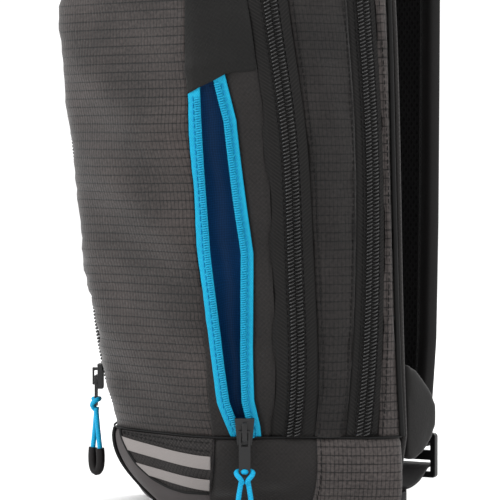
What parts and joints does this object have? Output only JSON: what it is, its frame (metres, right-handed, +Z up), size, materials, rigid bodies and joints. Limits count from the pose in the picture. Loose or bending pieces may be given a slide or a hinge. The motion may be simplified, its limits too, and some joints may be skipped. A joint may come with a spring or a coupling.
{
  "type": "hydration pack",
  "caption": "Slim ripstop hydration backpack with zipped compartments, an open blue-zipped side pocket, padded straps, a waist belt and a drinking bag inside.",
  "frame": {"origin": "middle of the base on the floor, below the front of the back panel", "axes": "+Z up, +Y towards the wearer's back, +X to the wearer's left"},
  "size_m": [0.195, 0.1773, 0.4535],
  "materials": {
    "ripstop_grey": "fine ripstop weave, slight sheen",
    "black_fabric": "plain black weave",
    "zip_black": "woven tape with a nylon coil",
    "zip_blue": "bright blue woven tape with a nylon coil",
    "lining_blue": "dark blue lining",
    "base_grey": "smooth coated cloth",
    "reflective_grey": "reflective film",
    "mesh_black": "spacer mesh over foam",
    "webbing_black": "ribbed webbing",
    "moulded_black": "satin moulded nylon",
    "cord_blue": "round braided cord",
    "grip_black": "soft matt",
    "reservoir_film": "clear bluish film",
    "cap_blue": "moulded, glossy"
  },
  "bodies": {
    "back_section": {"main_zip_rear_half": "zip_black", "rear_band": "ripstop_grey", "back_panel": "mesh_black", "base_front": "black_fabric", "base_side_right": "black_fabric", "base_side_left": "base_grey", "base_floor": "base_grey", "reflective_stripes": "reflective_grey", "back_pad_right": "mesh_black", "back_pad_left": "mesh_black", "top_handle": "webbing_black", "hose_port": "moulded_black", "shoulder_strap_right": "mesh_black", "shoulder_strap_left": "mesh_black", "adjuster_webbing_right": "webbing_black", "adjuster_webbing_left": "webbing_black", "side_wing_right": "black_fabric", "side_wing_left": "black_fabric", "strap_tabs": "webbing_black", "belt_webbing_right": "webbing_black", "belt_webbing_left": "webbing_black", "belt_buckle_socket": "moulded_black", "chest_rails": "moulded_black", "reservoir_sleeve": "black_fabric", "reservoir": "reservoir_film", "filler_ring": "cap_blue", "outlet_fitting": "moulded_black"},
    "main_flap": {"middle_band": "black_fabric", "main_zip_front_half": "zip_black", "front_zip_rear_half": "zip_black", "divider": "black_fabric"},
    "front_flap": {"front_panel": "ripstop_grey", "corner_panel_left": "black_fabric", "corner_panel_right": "black_fabric", "pocket_zip_front_half": "zip_blue", "pocket_zip_rear_half": "zip_blue", "pocket_lining": "lining_blue", "front_zip_front_half": "zip_black"},
    "front_slider": {"front_slider": "moulded_black"},
    "front_pull": {"front_puller": "moulded_black", "front_pull_cord": "cord_blue", "front_pull_grip": "grip_black"},
    "main_slider": {"main_slider": "moulded_black"},
    "main_pull": {"main_puller": "moulded_black", "main_pull_cord": "cord_blue", "main_pull_grip": "grip_black"},
    "pocket_slider": {"pocket_slider": "moulded_black"},
    "pocket_pull": {"pocket_puller": "moulded_black", "pocket_pull_cord": "cord_blue", "pocket_pull_grip": "grip_black"},
    "ladder_lock_right": {"ladder_lock_right": "moulded_black"},
    "ladder_lock_left": {"ladder_lock_left": "moulded_black"},
    "belt_prongs": {"belt_buckle_prongs": "moulded_black"},
    "chest_strap": {"chest_clips": "moulded_black", "chest_webbing_right": "webbing_black", "chest_webbing_left": "webbing_black", "chest_buckle_socket": "moulded_black"},
    "chest_prongs": {"chest_buckle_prongs": "moulded_black"},
    "cap": {"screw_cap": "cap_blue"},
    "outlet_button": {"outlet_button": "cap_blue"}
  },
  "joints": [
    {"name": "main_flap_open", "type": "hinge", "parent": "back_section", "child": "main_flap", "pos_m": [0, -0.028, 0.046], "axis": [1, 0, 0], "range_deg": [0, 14]},
    {"name": "front_flap_open", "type": "hinge", "parent": "main_flap", "child": "front_flap", "pos_m": [0, -0.028, 0.046], "axis": [1, 0, 0], "range_deg": [0, 16]},
    {"name": "front_zip_slide", "type": "slide", "parent": "front_flap", "child": "front_slider", "axis": [-0.0677, -0.1051, 0.9922], "range_m": [0, 0.0685]},
    {"name": "front_pull_swing", "type": "hinge", "parent": "front_slider", "child": "front_pull", "pos_m": [-0.07272, -0.00358, 0.06799], "axis": [-0.6676, 0.7445, 0], "range_deg": [0, 110]},
    {"name": "main_zip_slide", "type": "slide", "parent": "back_section", "child": "main_slider", "axis": [0.1376, -0.0037, -0.9905], "range_m": [0, 0.085]},
    {"name": "main_pull_swing", "type": "hinge", "parent": "main_slider", "child": "main_pull", "pos_m": [0.07871, 0.02677, 0.35165], "axis": [-0.258, -0.9661, 0], "range_deg": [0, 110]},
    {"name": "pocket_zip_slide", "type": "slide", "parent": "front_flap", "child": "pocket_slider", "axis": [0.0382, -0.1799, 0.9829], "range_m": [0, 0.1545]},
    {"name": "pocket_pull_swing", "type": "hinge", "parent": "pocket_slider", "child": "pocket_pull", "pos_m": [0.05129, -0.01816, 0.04928], "axis": [-0.694, -0.72, 0], "range_deg": [0, 110]},
    {"name": "ladder_lock_right_tilt", "type": "hinge", "parent": "back_section", "child": "ladder_lock_right", "pos_m": [0.056, 0.0985, 0.0395], "axis": [0.9659, 0.2588, 0], "range_deg": [0, 18]},
    {"name": "ladder_lock_left_tilt", "type": "hinge", "parent": "back_section", "child": "ladder_lock_left", "pos_m": [-0.056, 0.0985, 0.0395], "axis": [0.9659, -0.2588, 0], "range_deg": [0, 18]},
    {"name": "belt_buckle_release", "type": "slide", "parent": "back_section", "child": "belt_prongs", "axis": [1, 0, 0], "range_m": [0, 0.022]},
    {"name": "chest_strap_height", "type": "slide", "parent": "back_section", "child": "chest_strap", "axis": [0, 0, 1], "range_m": [-0.03, 0.03]},
    {"name": "chest_buckle_release", "type": "slide", "parent": "chest_strap", "child": "chest_prongs", "axis": [1, 0, 0], "range_m": [0, 0.015]},
    {"name": "cap_turn", "type": "hinge", "parent": "back_section", "child": "cap", "pos_m": [0, 0.02, 0.3], "axis": [0, 1, 0], "continuous": true},
    {"name": "outlet_button_press", "type": "slide", "parent": "back_section", "child": "outlet_button", "axis": [0, 1, 0], "range_m": [0, 0.0012], "stiffness_N_per_m": 150}
  ]
}
